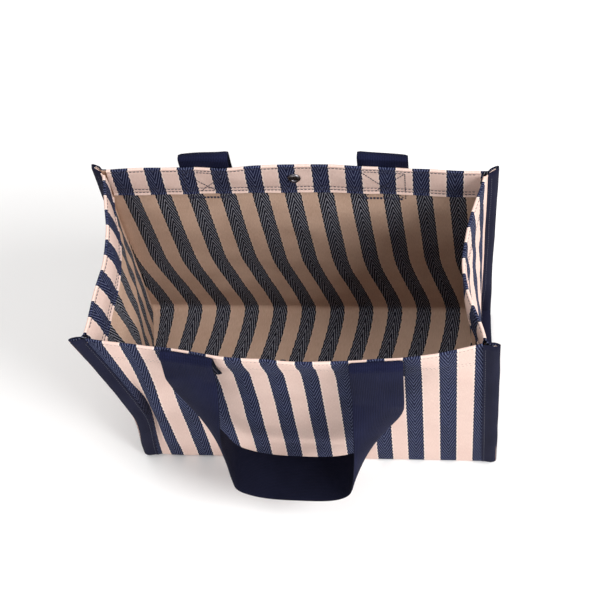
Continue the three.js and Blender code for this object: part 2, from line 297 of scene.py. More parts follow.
def main_cloth_stations():
    """Stations from a hem's low edge over its top, down the panel and under to the bag's middle."""
    low, top = HEIGHT - HEM_DEPTH, HEIGHT - HEM_RADIUS
    out = [("hem", z) for z in spread(low, top, 0.0013)]
    out += [("fold", a) for a in np.linspace(0.0, math.pi, 9)[1:-1]]
    out += [("outer", z) for z in spread(top, low - 0.006, 0.0013)]
    out += [("outer", z) for z in spread(low - 0.006, CORNER_RADIUS, 0.0034)[1:]]
    out += [("corner", a) for a in np.linspace(0.0, math.pi / 2, 8)[1:]]
    out += [("base", y) for y in spread(HALF_DEPTH - CORNER_RADIUS, 0.0, 0.0040)[1:]]
    return out


def main_cloth_rows(u):
    """The striped cloth's rows from one hem to the other, and which of them are turned over."""
    half = main_cloth_stations()
    stations = [(-1, *station) for station in half] + [(1, *station) for station in half[:-1][::-1]]
    points = np.array([main_cloth_row(face, kind, value, u) for face, kind, value in stations])
    return points, np.array([kind in ("hem", "fold") for _, kind, _ in stations])


def main_cloth_row(face, kind, value, u):
    """One row of the main cloth. Value is a height, an angle or a distance from the bag's middle plane."""
    if kind == "hem":
        return hem_cloth(face, u, value)
    if kind == "outer":
        return outer_cloth(face, u, value)
    if kind == "fold":
        outer = outer_cloth(face, u, HEIGHT - HEM_RADIUS)
        inner = hem_cloth(face, u, HEIGHT - HEM_RADIUS)
        lift = np.array([0.0, 0.0, HEM_RADIUS * math.sin(value)])
        return (outer + inner) / 2 - math.cos(value) * (outer - inner) / 2 + lift
    edge_lift = TAPE_LIFT * smooth(HALF_WIDTH - 0.006, HALF_WIDTH - 0.0005, np.abs(u))
    if kind == "corner":
        y = panel_y(face, u, CORNER_RADIUS) - CORNER_RADIUS * (1.0 - math.cos(value))
        z = CORNER_RADIUS * (1.0 - math.sin(value)) + edge_lift * math.sin(value)
        return joined(pulled_x(front_share(face), u, z), face * y, z)
    share = (1.0 - face * value / HALF_DEPTH) / 2
    lift = 0.0016 * (1.0 + ripple(u, face * value, 0.06, 33.0)) * smooth(0.0, 0.03, HALF_WIDTH - np.abs(u))
    lift = lift * smooth(0.0, 0.03, HALF_DEPTH - CORNER_RADIUS - value)
    return joined(pulled_x(share, u, 0.0), face * value, edge_lift + lift)


def fold_in(side, y, z):
    """How far a gusset's web folds into the bag."""
    deepest = LEFT_FOLD if side < 0 else RIGHT_FOLD
    wave = np.cos(np.pi * np.clip(y / WEB_END, -1, 1) / 2) ** 1.25
    return deepest * wave * smooth(0.0, HEIGHT, z)


def gusset_x(side, y, z):
    """Where a gusset's outer face lies. It folds in softly between its two seams."""
    along = (y + WEB_END) / (2 * WEB_END)
    straight = (1.0 - along) * seam_x(side, -1, z) + along * seam_x(side, 1, z)
    edge = 1.0 - np.clip(y / WEB_END, -1, 1) ** 6
    seed = 40.0 + side
    sag = 0.0030 * ripple(y, z, 0.070, seed) + 0.0012 * ripple(y, z, 0.030, seed + 5.0)
    hem = 0.0012 * ripple(y, 0.3 * z, 0.030, seed + 9.0) * smooth(HEIGHT - 0.060, HEIGHT - 0.020, z)
    return straight - side * (fold_in(side, y, z) - (sag + hem) * edge * smooth(0.0, 0.05, z))


def gusset_stations():
    """Stations along a gusset, from its low seam allowance up the web and over to the hem's low edge."""
    low, top = HEIGHT - HEM_DEPTH, HEIGHT - HEM_RADIUS
    out = [("foot", v) for v in spread(SEAM_ALLOWANCE, GUSSET_RADIUS, 0.003)]
    out += [("turn", a) for a in np.linspace(0.0, math.pi / 2, 6)[1:-1]]
    out += [("web", z) for z in spread(GUSSET_LOW + GUSSET_RADIUS, low - 0.006, 0.0036)]
    out += [("web", z) for z in spread(low - 0.006, top, 0.0013)[1:]]
    out += [("fold", a) for a in np.linspace(0.0, math.pi, 9)[1:-1]]
    out += [("hem", z) for z in spread(top, low, 0.0013)]
    return out


def gusset_across():
    """Stations from the front seam allowance, over the web between the seams, to the back one."""
    half = [("flange", v) for v in spread(SEAM_ALLOWANCE, GUSSET_RADIUS, 0.0025)]
    half += [("turn", a) for a in np.linspace(0.0, math.pi / 2, 6)[1:-1]]
    front = [(-1, kind, v) for kind, v in half]
    reach = WEB_END - CANVAS - GUSSET_RADIUS
    web = [(0, "web", y) for y in spread(-reach, reach, 0.0024)]
    return front + web + [(1, kind, v) for kind, v in half[::-1]]


def gusset_place(side, station, z):
    """x and y of a gusset at one height."""
    face, kind, value = station
    tip = WEB_END - CANVAS
    if kind == "web":
        return gusset_x(side, value, z), value
    seam = gusset_x(side, face * tip, z)
    if kind == "flange":
        return seam + side * value, face * tip
    return (seam + side * GUSSET_RADIUS * (1.0 - math.sin(value)),
            face * (tip - GUSSET_RADIUS * (1.0 - math.cos(value))))


def gusset_point(side, station, kind, value):
    """One point of a gusset: station says where across it, kind and value where along it."""
    if kind in ("foot", "turn"):
        x, y = gusset_place(side, station, GUSSET_LOW + GUSSET_RADIUS)
        seam = side * gusset_x(side, y, GUSSET_LOW)
        out = value if kind == "foot" else GUSSET_RADIUS * (1.0 - math.sin(value))
        z = GUSSET_LOW + (0.0 if kind == "foot" else GUSSET_RADIUS * (1.0 - math.cos(value)))
        return side * max(side * x, seam + out), y, z
    z = HEIGHT - HEM_RADIUS if kind == "fold" else value
    x, y = gusset_place(side, station, z)
    drop = HEIGHT - z
    dent = stitch_dent(drop) if station[1] == "web" else 0.0
    outer_x = x - side * dent
    if kind == "web":
        return outer_x, y, z
    loose = 0.0008 * bump_at(0.020, 0.012, drop)
    depth = 2.0 * HEM_RADIUS + loose - dent + 0.0007 * smooth(0.041, 0.044, drop)
    inner_x = x - side * depth
    if kind == "hem":
        return inner_x, y, z
    middle, reach = (outer_x + inner_x) / 2, (outer_x - inner_x) / 2
    return middle + math.cos(value) * reach, y, z + HEM_RADIUS * math.sin(value)


# ---- mesh building

def new_object(name, verts, faces, materials, face_slots=None, uv=None, sharp=50.0):
    mesh = bpy.data.meshes.new(name)
    mesh.from_pydata([tuple(v) for v in verts], [], [tuple(f) for f in faces])
    for material in materials:
        mesh.materials.append(material)
    if face_slots is not None:
        mesh.polygons.foreach_set("material_index", np.asarray(face_slots, np.int32))
    if uv is not None:
        layer = mesh.uv_layers.new(name="UVMap")
        loops = np.zeros(len(mesh.loops), np.int32)
        mesh.loops.foreach_get("vertex_index", loops)
        layer.data.foreach_set("uv", np.asarray(uv, np.float32)[loops].ravel())
    mesh.polygons.foreach_set("use_smooth", np.ones(len(mesh.polygons), bool))
    mesh.validate()
    mesh.update()
    mesh.set_sharp_from_angle(angle=math.radians(sharp))
    piece = bpy.data.objects.new(name, mesh)
    bpy.context.scene.collection.objects.link(piece)
    return piece


def grid_normals(points):
    across = np.gradient(points, axis=1)
    along = np.gradient(points, axis=0)
    normal = np.cross(across, along)
    length = np.linalg.norm(normal, axis=-1, keepdims=True)
    return normal / np.maximum(length, 1e-12)


def close_up(quads, count):
    """The walls along the open edges of a grid of count points, and the grid's underside."""
    edges = dict.fromkeys((q[i], q[(i + 1) % 4]) for q in quads for i in range(4))
    walls = [(b, a, a + count, b + count) for a, b in edges if (b, a) not in edges]
    under = [tuple(i + count for i in q[::-1]) for q in quads]
    return walls, under


def sheet(name, points, uv, thickness, materials, flip=False, keep=None):
    """A closed thin solid whose right side is the grid of points. Keep says which squares are there."""
    rows, cols = points.shape[:2]
    normal = grid_normals(points) * (-1.0 if flip else 1.0)
    count = rows * cols
    verts = np.concatenate([points.reshape(-1, 3), (points - thickness * normal).reshape(-1, 3)])
    uvs = np.concatenate([uv.reshape(-1, 2)] * 2)
    quads = []
    for r in range(rows - 1):
        for c in range(cols - 1):
            if keep is None or keep[r, c]:
                a = r * cols + c
                quads.append((a, a + 1, a + cols + 1, a + cols))
    if flip:
        quads = [q[::-1] for q in quads]
    walls, under = close_up(quads, count)
    faces = quads + under + walls
    slots = [0] * len(quads) + [len(materials) - 1] * len(under) + [0] * len(walls)
    used = np.unique(np.array([i for f in faces for i in f]))
    renumber = np.full(2 * count, -1)
    renumber[used] = np.arange(len(used))
    faces = [tuple(renumber[list(f)]) for f in faces]
    return new_object(name, verts[used], faces, materials, slots, uvs[used])


def arc_lengths(points):
    step = np.linalg.norm(np.diff(points, axis=0), axis=-1)
    return np.concatenate([[0.0], np.cumsum(step)])


def on_line(table, length, places):
    """The table's values at places along its line, whose points lie at the given lengths."""
    return joined(*[np.interp(places, length, table[:, k]) for k in range(3)])


def unit(vector):
    return vector / max(np.linalg.norm(vector), 1e-9)


def tube_faces(start, rings, around):
    """The faces of a closed tube, whose points are numbered ring by ring from start."""
    faces = []
    for ring in range(rings - 1):
        for k in range(around):
            a = start + ring * around + k
            b = start + ring * around + (k + 1) % around
            faces.append((a, b, b + around, a + around))
    faces.append(tuple(start + k for k in range(around))[::-1])
    faces.append(tuple(start + (rings - 1) * around + k for k in range(around)))
    return faces


def stitches(name, lines, radius=THREAD_RADIUS, stitch=STITCH, space=STITCH_SPACE):
    """Rows of short, rounded stitches. Each line is its points and the cloth's normals there."""
    verts, faces, uvs = [], [], []
    spacing = stitch + space
    for points, normals in lines:
        length = arc_lengths(points)
        for place in np.arange(spacing / 2, length[-1] - spacing / 2, spacing):
            end, begin = (on_line(points, length, place + way * stitch / 2) for way in (1, -1))
            along = unit(end - begin)
            up = on_line(normals, length, place)
            up = unit(up - along * np.dot(up, along))
            side = np.cross(along, up)
            middle = on_line(points, length, place)
            start = len(verts)
            for share, swell, lift in STITCH_SHAPE:
                centre = middle + along * share * stitch + up * lift * radius
                for a in np.arange(THREAD_SIDES) * 2 * math.pi / THREAD_SIDES:
                    ring = math.cos(a) * side * THREAD_WIDE + math.sin(a) * up * THREAD_HIGH
                    verts.append(centre + swell * radius * ring)
                    uvs.append((share * stitch, a / (2 * math.pi)))
            faces += tube_faces(start, len(STITCH_SHAPE), THREAD_SIDES)
    return new_object(name, verts, faces, [THREAD], uv=uvs)


def lathe(name, profile, place, axis, material, segments=40):
    """A round piece from (radius, along) pairs. It stands at place, along axis."""
    axis = Vector(axis).normalized()
    turn = Vector((0, 0, 1)).rotation_difference(axis).to_matrix()
    verts = []
    for radius, along in profile:
        for k in range(segments):
            a = 2 * math.pi * k / segments
            local = Vector((radius * math.cos(a), radius * math.sin(a), along))
            verts.append(Vector(place) + turn @ local)
    return new_object(name, verts, tube_faces(0, len(profile), segments), [material], sharp=40.0)


# ---- materials

class Shade:
    """A short way to write shader nodes."""

    def __init__(self, name):
        self.material = bpy.data.materials.new(name)
        self.material.use_nodes = True
        self.tree = self.material.node_tree
        self.tree.nodes.clear()
        self.output = self.tree.nodes.new("ShaderNodeOutputMaterial")
        self.surface = self.tree.nodes.new("ShaderNodeBsdfPrincipled")
        self.tree.links.new(self.surface.outputs["BSDF"], self.output.inputs["Surface"])

    def put(self, socket, value):
        if isinstance(value, bpy.types.NodeSocket):
            self.tree.links.new(value, socket)
        else:
            socket.default_value = value

    def math(self, operation, a, b=0.0, c=0.0, clamp=False):
        node = self.tree.nodes.new("ShaderNodeMath")
        node.operation = operation
        node.use_clamp = clamp
        for socket, value in zip(node.inputs, (a, b, c)):
            self.put(socket, value)
        return node.outputs[0]

    def ramp(self, value, low, high):
        node = self.tree.nodes.new("ShaderNodeMapRange")
        node.interpolation_type = "SMOOTHSTEP"
        self.put(node.inputs["Value"], value)
        node.inputs["From Min"].default_value = low
        node.inputs["From Max"].default_value = high
        return node.outputs["Result"]

    def mix(self, share, a, b):
        node = self.tree.nodes.new("ShaderNodeMix")
        node.data_type = "RGBA"
        self.put(node.inputs["Factor"], share)
        self.put(node.inputs[6], colour(a))
        self.put(node.inputs[7], colour(b))
        return node.outputs[2]

    def noise(self, vector, scale, detail=2.0, roughness=0.5):
        node = self.tree.nodes.new("ShaderNodeTexNoise")
        self.put(node.inputs["Vector"], vector)
        node.inputs["Scale"].default_value = scale
        node.inputs["Detail"].default_value = detail
        node.inputs["Roughness"].default_value = roughness
        return node.outputs["Fac"]

    def uv(self):
        node = self.tree.nodes.new("ShaderNodeUVMap")
        node.uv_map = "UVMap"
        split = self.tree.nodes.new("ShaderNodeSeparateXYZ")
        self.tree.links.new(node.outputs["UV"], split.inputs[0])
        return node.outputs["UV"], split.outputs["X"], split.outputs["Y"]

    def vector(self, x, y, z=0.0):
        node = self.tree.nodes.new("ShaderNodeCombineXYZ")
        for socket, value in zip(node.inputs, (x, y, z)):
            self.put(socket, value)
        return node.outputs[0]

    def place(self):
        return self.tree.nodes.new("ShaderNodeTexCoord").outputs["Object"]

    def wave(self, value, period):
        """0 to 1 and back over each period."""
        turns = self.math("MULTIPLY", value, 2 * math.pi / period)
        return self.math("MULTIPLY_ADD", self.math("SINE", turns), 0.5, 0.5)

    def finish(self, base, height, depth, roughness, specular, sheen=0.0):
        """The surface's settings. Height is a pattern from 0 to 1, and depth says how deep it is."""
        self.put(self.surface.inputs["Base Color"], base)
        self.put(self.surface.inputs["Roughness"], roughness)
        self.surface.inputs["Sheen Weight"].default_value = sheen
        self.surface.inputs["Sheen Roughness"].default_value = 0.5
        self.surface.inputs["Specular IOR Level"].default_value = specular
        bump = self.tree.nodes.new("ShaderNodeBump")
        bump.inputs["Strength"].default_value = 1.0
        bump.inputs["Distance"].default_value = depth
        self.tree.links.new(height, bump.inputs["Height"])
        self.tree.links.new(bump.outputs["Normal"], self.surface.inputs["Normal"])
        return self.material


def colour(value):
    if isinstance(value, tuple) and len(value) == 3:
        return tuple(linear(v) for v in value) + (1.0,)
    return value


def linear(v):
    v = v / 255.0
    return v / 12.92 if v <= 0.04045 else ((v + 0.055) / 1.055) ** 2.4


def stripe_places(s, uv, u, v):
    """Distances from the nearest navy stripe's middle and beyond its toothed edge."""
    tooth = s.math("FRACT", s.math("ADD", s.math("DIVIDE", v, TWILL_UP), 0.5 * STRIPE / TWILL_ACROSS))
    ragged = s.math("MULTIPLY_ADD", s.noise(uv, 900.0, 1.0), 0.0008, -0.0004)
    half = s.math("ADD", s.math("MULTIPLY_ADD", tooth, 0.0009, 0.5 * STRIPE - 0.00045), ragged)
    pairs = s.math("DIVIDE", s.math("SUBTRACT", u, FIRST_STRIPE - 0.5 * STRIPE), 2 * STRIPE)
    from_middle = s.math("ABSOLUTE", s.math("SUBTRACT", s.math("FRACT", pairs), 0.5))
    middle = s.math("MULTIPLY", from_middle, 2 * STRIPE)
    return middle, s.math("SUBTRACT", middle, half)


def herringbone(s, uv, v, middle):
    """Steep lines that are mirrored at a navy stripe's middle."""
    wander = s.math("MULTIPLY", s.noise(uv, 160.0, 2.0), 0.30)
    phase = s.math("ADD", s.math("DIVIDE", v, TWILL_UP), s.math("DIVIDE", middle, TWILL_ACROSS))
    return s.ramp(s.wave(s.math("ADD", phase, wander), 1.0), 0.40, 1.0)


def striped_canvas(name, dark, dark_light, fleck, pale, pale_shade, rim, twill):
    """Navy herringbone stripes and plain pale stripes. Twill is how strongly the pale yarn shows."""
    s = Shade(name)
    uv, u, v = s.uv()
    middle, beyond = stripe_places(s, uv, u, v)
    is_pale = s.ramp(beyond, -0.00012, 0.00012)
    line = herringbone(s, uv, v, middle)
    cloud = s.noise(s.place(), 22.0, 3.0)
    # single yarns: a broken row of flecks along the lines
    yarn = s.wave(v, 0.00095)
    weave = s.math("MULTIPLY", yarn, s.wave(u, 0.0008))
    speck = s.ramp(s.noise(s.vector(u, s.math("MULTIPLY", v, 0.45)), 1500.0, 1.0), 0.38, 0.60)
    light = s.math("MULTIPLY", line, s.math("MULTIPLY_ADD", speck, 0.70, 0.30))
    light = s.math("MULTIPLY", light, s.math("SUBTRACT", 1.0, s.ramp(beyond, -0.0012, -0.0002)))
    navy = s.mix(s.ramp(cloud, 0.3, 0.75), dark, dark_light)
    navy = s.mix(s.math("MULTIPLY", light, twill, clamp=True), navy, fleck)
    # the pale stripes: slubs, the plain weave, and a paler rim beside the navy
    slub = s.noise(s.vector(s.math("MULTIPLY", u, 4.0), s.math("MULTIPLY", v, 0.4)), 420.0, 2.0)
    shade = s.math("MULTIPLY", s.ramp(slub, 0.35, 0.7), 0.45)
    shade = s.math("ADD", shade, s.math("MULTIPLY", weave, 0.35))
    shade = s.math("ADD", shade, s.math("MULTIPLY", s.ramp(cloud, 0.35, 0.7), 0.3))
    cream = s.mix(shade, pale_shade, pale)
    cream = s.mix(s.math("MULTIPLY", s.ramp(beyond, 0.0014, 0.0002), 0.6), cream, rim)
    base = s.mix(is_pale, navy, cream)
    ribs = s.math("ADD", s.math("MULTIPLY", line, 0.75), s.math("MULTIPLY", yarn, 0.25))
    flat = s.math("ADD", s.math("MULTIPLY", weave, 0.6), s.math("MULTIPLY", slub, 0.5))
    height = s.math("ADD", s.math("MULTIPLY", ribs, s.math("SUBTRACT", 1.0, is_pale)),
                    s.math("MULTIPLY", flat, is_pale))
    return s.finish(base, height, 0.00025, roughness=0.95, specular=0.08)


def ribbed_tape(name, dark, light, pitch, along_pitch, depth):
    """Navy tape or webbing with ribs along its length."""
    s = Shade(name)
    uv, u, v = s.uv()
    rib = s.wave(u, pitch)
    pick = s.wave(s.math("ADD", v, s.math("MULTIPLY", s.wave(u, 2 * pitch), along_pitch / 2)), along_pitch)
    fuzz = s.noise(uv, 1300.0, 2.0)
    cloud = s.noise(s.place(), 30.0, 3.0)
    shade = s.math("ADD", s.math("MULTIPLY", rib, 0.45), s.math("MULTIPLY", pick, 0.2))
    shade = s.math("ADD", shade, s.math("MULTIPLY", s.ramp(fuzz, 0.3, 0.75), 0.25))
    shade = s.math("ADD", shade, s.math("MULTIPLY", s.ramp(cloud, 0.3, 0.75), 0.3), clamp=True)
    base = s.mix(shade, dark, light)
    height = s.math("ADD", rib, s.math("MULTIPLY", pick, 0.35))
    return s.finish(base, height, depth, roughness=0.85, specular=0.08)


def thread_material(name, dark, light):
    s = Shade(name)
    _, u, v = s.uv()
    ply = s.wave(s.math("ADD", u, s.math("MULTIPLY", v, 0.0016)), 0.0008)
    fuzz = s.noise(s.place(), 900.0, 2.0)
    shade = s.math("ADD", s.math("MULTIPLY", ply, 0.6), s.math("MULTIPLY", fuzz, 0.5), clamp=True)
    return s.finish(s.mix(shade, dark, light), ply, 0.00008, roughness=0.6, specular=0.35, sheen=0.1)


def snap_material(name):
    s = Shade(name)
    place = s.place()
    worn = s.ramp(s.noise(place, 320.0, 4.0, 0.65), 0.45, 0.75)
    scratch = s.noise(place, 1600.0, 3.0)
    base = s.mix(worn, (92, 90, 96), (176, 170, 166))
    s.surface.inputs["Metallic"].default_value = 1.0
    roughness = s.math("MULTIPLY_ADD", scratch, 0.25, 0.22)
    return s.finish(base, scratch, 0.00002, roughness=roughness, specular=0.5)


def floor_material():
    s = Shade("pale_floor")
    grain = s.noise(s.place(), 3.0, 2.0)
    base = s.mix(grain, (250, 250, 250), (253, 253, 253))
    return s.finish(base, grain, 0.0001, roughness=0.9, specular=0.1)


CANVAS_OUT = striped_canvas("canvas_right_side", (16, 18, 40), (24, 28, 56), (122, 130, 164),
                            (238, 212, 201), (222, 192, 181), (250, 236, 229), 0.62)
CANVAS_IN = striped_canvas("canvas_wrong_side", (9, 10, 22), (16, 18, 34), (178, 180, 192),
                           (222, 192, 171), (196, 163, 142), (232, 207, 190), 0.80)
BINDING = ribbed_tape("navy_binding_tape", (16, 17, 34), (34, 35, 56), 0.0011, 0.0009, 0.00012)
WEB_FRONT = ribbed_tape("navy_webbing", (8, 9, 24), (30, 33, 62), 0.0016, 0.0014, 0.00030)
# The webbing's reverse face is coloured darker than its front: painted shade for the dark low band of the
# handle loop, where this face shows
WEB_REVERSE_SHADED = ribbed_tape("navy_webbing_reverse_painted_shade", (8, 9, 22), (20, 22, 40), 0.0016, 0.0014, 0.00020)
THREAD = thread_material("navy_thread", (14, 15, 32), (34, 37, 66))
SNAP = snap_material("gunmetal_snap")


# ---- cloth pieces

def put(piece, body, slot, *nodes):
    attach(piece, body)
    if nodes:
        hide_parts(*nodes)


def main_cloth_columns(edge):
    """Places across the main cloth. The hems reach to edge only, inside the gussets."""
    return np.concatenate([
        spread(-HALF_WIDTH - SEAM_ALLOWANCE, -HALF_WIDTH, 0.0028)[:-1], [-HALF_WIDTH],
        spread(-edge, -0.120, 0.0018), spread(-0.120, edge, 0.0028)[1:], [HALF_WIDTH],
        spread(HALF_WIDTH, HALF_WIDTH + SEAM_ALLOWANCE, 0.0028)[1:],
    ])


def main_cloth_uv(points, u, turned, path):
    """Metres across and along the cloth. The stripes run at a slant up the leaning back panel."""
    back = smooth(-HALF_DEPTH, HALF_DEPTH, points[..., 1])
    height = np.clip(points[..., 2], 0.0, HEIGHT)
    slope = BACK_LEAN * (HEIGHT - height) + BACK_DRIFT * (1.0 - smooth(0.0, 0.130, height))
    lean = BACK_SHIFT + np.where(turned[:, None], 0.0, slope)
    flare = 0.5 * FLARE * (1.0 - back) * (1.0 - height / HEIGHT) * smooth(0.100, HALF_WIDTH, u)
    across = u + flare - back * lean
    return joined(across, path[:, None])


def make_main_cloth():
    edge = HALF_WIDTH - HEM_CLEARANCE
    u = main_cloth_columns(edge)
    points, turned = main_cloth_rows(u)
    path = arc_lengths(points[:, len(u) // 2])
    uv = main_cloth_uv(points, u, turned, path)
    middle = np.abs(u[:-1] + u[1:]) / 2 < edge
    keep = middle[None, :] | ~(turned[:-1] | turned[1:])[:, None]
    for side, columns in ((-1, u < -HALF_WIDTH), (1, u > HALF_WIDTH)):
        for face in (-1, 1):
            place = np.ix_(face * points[:, 0, 1] > 0, columns)
            points[place] = turn_allowance(points[place], side, face)
    piece = sheet("striped_body_cloth", points, uv, CANVAS, [CANVAS_OUT, CANVAS_IN], flip=True, keep=keep)
    put(piece, "bag", "striped_canvas", "front_panel", "base_panel", "back_panel")


def gusset_u(face, kind, value):
    """Metres across a gusset's cloth from its middle, for one of its stations."""
    if kind == "web":
        return value
    reach = WEB_END - CANVAS - GUSSET_RADIUS
    if kind == "turn":
        return face * (reach + GUSSET_RADIUS * (math.pi / 2 - value))
    return face * (reach + GUSSET_RADIUS * 0.57 + value)


def make_gusset(side_name, side):
    stations, across = gusset_stations(), gusset_across()
    points = np.array([[gusset_point(side, a, kind, value) for a in across] for kind, value in stations])
    v = arc_lengths(points[:, len(across) // 2])
    for face in (-1, 1):
        columns = np.array([station[0] == face for station in across])
        points[:, columns] = turn_allowance(points[:, columns], side, face)
    u = np.array([gusset_u(*station) for station in across]) + FIRST_STRIPE + GUSSET_SHIFT
    uv = joined(u[None, :], v[:, None])
    turned = np.array([kind in ("fold", "hem") for kind, _ in stations])
    web = np.array([kind == "web" for _, kind, _ in across])
    inner = web[:-1] & web[1:]
    keep = inner[None, :] | ~(turned[:-1] | turned[1:])[:, None]
    piece = sheet(side_name + "_gusset_cloth", points, uv, CANVAS, [CANVAS_OUT, CANVAS_IN],
                  flip=side < 0, keep=keep)
    put(piece, "bag", "striped_canvas", side_name + "_gusset")


# ---- binding tape

def upright_seam(side, face):
    """Places on a side's front or back seam, from its top to the end of its corner."""
    out = [(seam_x(side, face, z), face * HALF_DEPTH, z, (0.0, -face, 0.0))
           for z in spread(HEIGHT, TAPE_CORNER, 0.0032)]
    for a in np.linspace(0.0, math.pi / 2, 9)[1:-1]:
        y = face * (HALF_DEPTH - TAPE_CORNER * (1.0 - math.cos(a)))
        z = TAPE_CORNER * (1.0 - math.sin(a)) + TAPE_LIFT * math.sin(a)
        out.append((seam_x(side, face, z), y, z, (0.0, -face * math.cos(a), math.sin(a))))
    return out


def binding_path(side):
    """Places on a side's seam from the front top to the back top, with the direction into the bag."""
    base = []
    for y in spread(-HALF_DEPTH + TAPE_CORNER, HALF_DEPTH - TAPE_CORNER, 0.0040):
        share = (y + HALF_DEPTH) / (2 * HALF_DEPTH)
        x = (1.0 - share) * seam_x(side, -1, 0.0) + share * seam_x(side, 1, 0.0)
        base.append((x, y, TAPE_LIFT, (0.0, 0.0, 1.0)))
    return upright_seam(side, -1) + base + upright_seam(side, 1)[::-1]


def tape_puff(out):
    """How much the tape swells at a distance out from the seam. Its row of stitches pulls it in."""
    return TAPE_PUFF * bump_at(0.0058, 0.0034, out) - 0.0003 * bump_at(-0.0014, 0.0011, out)


def tape_section():
    """The tape folded over the seam allowances: distances out from the seam and in from the face."""
    near, far, edge = -TAPE_STAND, SEAM_STACK - TAPE_STAND, TAPE_REACH
    radius = (far - near) / 2
    line = [(out, near - tape_puff(out)) for out in spread(TAPE_START, edge - radius, 0.0010)]
    for a in np.linspace(-math.pi / 2, math.pi / 2, 11)[1:-1]:
        line.append((edge - radius + radius * math.cos(a), near + radius + radius * math.sin(a)))
    line += [(out, far + tape_puff(out)) for out in spread(edge - radius, 0.0004, 0.0010)]
    return np.array(line)


def tape_points(side, path, length, section):
    """The folded tape's grid of points. It is uneven, and pressed together at both ends."""
    middle = SEAM_STACK / 2 - TAPE_STAND
    points = np.zeros((len(path), len(section), 3))
    for i, (x, y, z, inward) in enumerate(path):
        from_end = min(length[i], length[-1] - length[i])
        close = 0.42 + 0.58 * math.sin(math.pi / 2 * min(1.0, from_end / 0.0042 + 0.12))
        wobble = 0.0005 * noise.noise(Vector((side, y * 25, z * 25 + 3)))
        swing = 0.0007 * noise.noise(Vector((side * 2, y * 18, z * 18 + 9)))
        for k, (out, inwards) in enumerate(section):
            depth = middle + (inwards - middle) * close + swing
            reach = out + wobble * (1.0 if out > 0.002 else 0.4)
            points[i, k] = (x + side * reach, y + inward[1] * depth, z + inward[2] * depth)
        points[i] = turn_allowance(points[i], side, -1 if i < len(path) / 2 else 1)
    return points


def make_binding(side_name, side):
    path = binding_path(side)
    section = tape_section()
    length = arc_lengths(np.array([place[:3] for place in path]))
    points = tape_points(side, path, length, section)
    u = arc_lengths(section)
    uv = joined(u[None, :], length[:, None])
    piece = sheet(side_name + "_binding_tape", points, uv, TAPE, [BINDING], flip=side > 0)
    names = [side_name + part for part in ("_front_binding", "_base_binding", "_back_binding")]
    put(piece, "bag", "binding_tape", *names)
    normals = grid_normals(points) * (-1.0 if side > 0 else 1.0)
    rows = [(points[2:-2, k], normals[2:-2, k]) for k in (2, len(section) - 3)]
    row = stitches(side_name + "_binding_stitching", rows, radius=0.0003, stitch=0.0030, space=0.0012)
    put(row, "bag", "thread")


# ---- handles

def catmull_rom(points, count):
    """Evenly spaced places on a smooth curve through the points."""
    points = [np.asarray(p, float) for p in points]
    ends = [2 * points[0] - points[1], *points, 2 * points[-1] - points[-2]]
    out = []
    for a, b, c, d in zip(ends, ends[1:], ends[2:], ends[3:]):
        knots = [0.0]
        for p, q in ((a, b), (b, c), (c, d)):
            knots.append(knots[-1] + math.sqrt(max(np.linalg.norm(q - p), 1e-9)))
        t0, t1, t2, t3 = knots
        for t in np.linspace(t1, t2, 40, endpoint=False):
            ab = (t1 - t) / (t1 - t0) * a + (t - t0) / (t1 - t0) * b
            bc = (t2 - t) / (t2 - t1) * b + (t - t1) / (t2 - t1) * c
            cd = (t3 - t) / (t3 - t2) * c + (t - t2) / (t3 - t2) * d
            abc = (t2 - t) / (t2 - t0) * ab + (t - t0) / (t2 - t0) * bc
            bcd = (t3 - t) / (t3 - t1) * bc + (t - t1) / (t3 - t1) * cd
            out.append((t2 - t) / (t2 - t1) * abc + (t - t1) / (t2 - t1) * bcd)
    out.append(points[-1])
    out = np.array(out)
    length = arc_lengths(out)
    return on_line(out, length, np.linspace(0.0, length[-1], count))


def panel_top_y(face, x):
    """The outer face at the hem's top, where a handle's sewn end leaves it."""
    return panel_y(face, x, HEIGHT)


def leg_turn(share, start, end, power):
    """How far the webbing has turned over at a share of the loop, counted from that leg's fold."""
    return (math.pi / 2) * (1.0 - (1.0 - np.clip((share - start) / (end - start), 0.0, 1.0)) ** power)


def leg_y(face):
    """How far a hanging handle's legs are from the bag's middle plane."""
    child = "front_handle" if face < 0 else "back_handle"
    joint = next(j for j in frame["joints"] if j["child"] == child)
    return abs(joint["pos_m"][1]) + FOLD_RADIUS[face]


def loop_route(face):
    """Centre line and cross direction of a handle's loop, from the left fold to the right one."""
    route = [(x, face * (leg_y(face) + out), FOLD_Z[face] - down) for x, out, down in LOOP_ROUTE]
    path = catmull_rom(route, LOOP_COUNT)
    share = np.linspace(0.0, 1.0, LOOP_COUNT)
    tangent = np.gradient(path, axis=0)
    tangent /= np.linalg.norm(tangent, axis=-1, keepdims=True)
    turned = leg_turn(share, *LEFT_TURN) + math.pi / 2 - leg_turn(1.0 - share, *RIGHT_TURN)
    across = joined(np.cos(turned), face * np.sin(turned), 0.0)
    across -= tangent * np.sum(across * tangent, axis=-1, keepdims=True)
    across /= np.linalg.norm(across, axis=-1, keepdims=True)
    return path, across


def squeeze_at(face, side, x):
    """How much flatter a fold is at x: 0 is round, and 1 is pressed flat."""
    left, right = CREST_SQUEEZE[face, side]
    share = np.clip((x - side * HANDLE_X) / WEBBING_WIDTH + 0.5, 0.0, 1.0)
    return left + (right - left) * share


